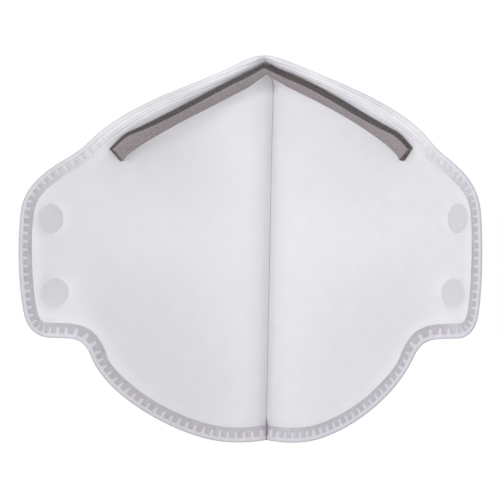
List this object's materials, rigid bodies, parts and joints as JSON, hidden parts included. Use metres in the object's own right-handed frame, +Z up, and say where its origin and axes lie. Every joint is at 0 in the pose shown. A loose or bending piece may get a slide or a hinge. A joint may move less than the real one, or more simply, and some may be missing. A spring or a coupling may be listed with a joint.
{
  "type": "disposable dust mask",
  "caption": "Vertical fold-flat dust mask, opened out, with a creased four-layer body, welded comb rim, nose foam, nose clip and two head straps welded at the ear tabs.",
  "frame": {"origin": "middle of the face opening, in the plane of the ear tabs' edges", "axes": "+X towards the right edge as seen from the wearer's side, +Y forward, away from the face, +Z up towards the nose"},
  "size_m": [0.1788, 0.0591, 0.1496],
  "materials": {
    "inner_lining": "matte",
    "filter_layer": "matte",
    "support_layer": "matte",
    "outer_cover": "matte",
    "welded_laminate": "satin",
    "foam": "matte",
    "clip": "satin",
    "strap": "matte"
  },
  "bodies": {
    "left_half": {"edge_weld_left": "welded_laminate", "edge_weld_nose": "welded_laminate", "filter_layer_left": "filter_layer", "filter_layer_nose": "filter_layer", "head_strap_lower": "strap", "head_strap_upper": "strap", "inner_lining_left": "inner_lining", "inner_lining_nose": "inner_lining", "nose_clip": "clip", "nose_foam": "foam", "outer_cover_left": "outer_cover", "outer_cover_nose": "outer_cover", "strap_weld_lower_left": "welded_laminate", "strap_weld_upper_left": "welded_laminate", "support_layer_left": "support_layer", "support_layer_nose": "support_layer"},
    "right_half": {"edge_weld_right": "welded_laminate", "filter_layer_right": "filter_layer", "inner_lining_right": "inner_lining", "outer_cover_right": "outer_cover", "strap_weld_lower_right": "welded_laminate", "strap_weld_upper_right": "welded_laminate", "support_layer_right": "support_layer"}
  },
  "joints": [
    {"name": "centre_fold", "type": "hinge", "parent": "left_half", "child": "right_half", "pos_m": [0, 0.0466, 0], "axis": [0, -0.1191, -0.9929], "range_deg": [-40, 94], "deforming": ["edge_weld_nose", "filter_layer_nose", "head_strap_lower", "head_strap_upper", "inner_lining_nose", "nose_clip", "nose_foam", "outer_cover_nose", "support_layer_nose"]}
  ]
}
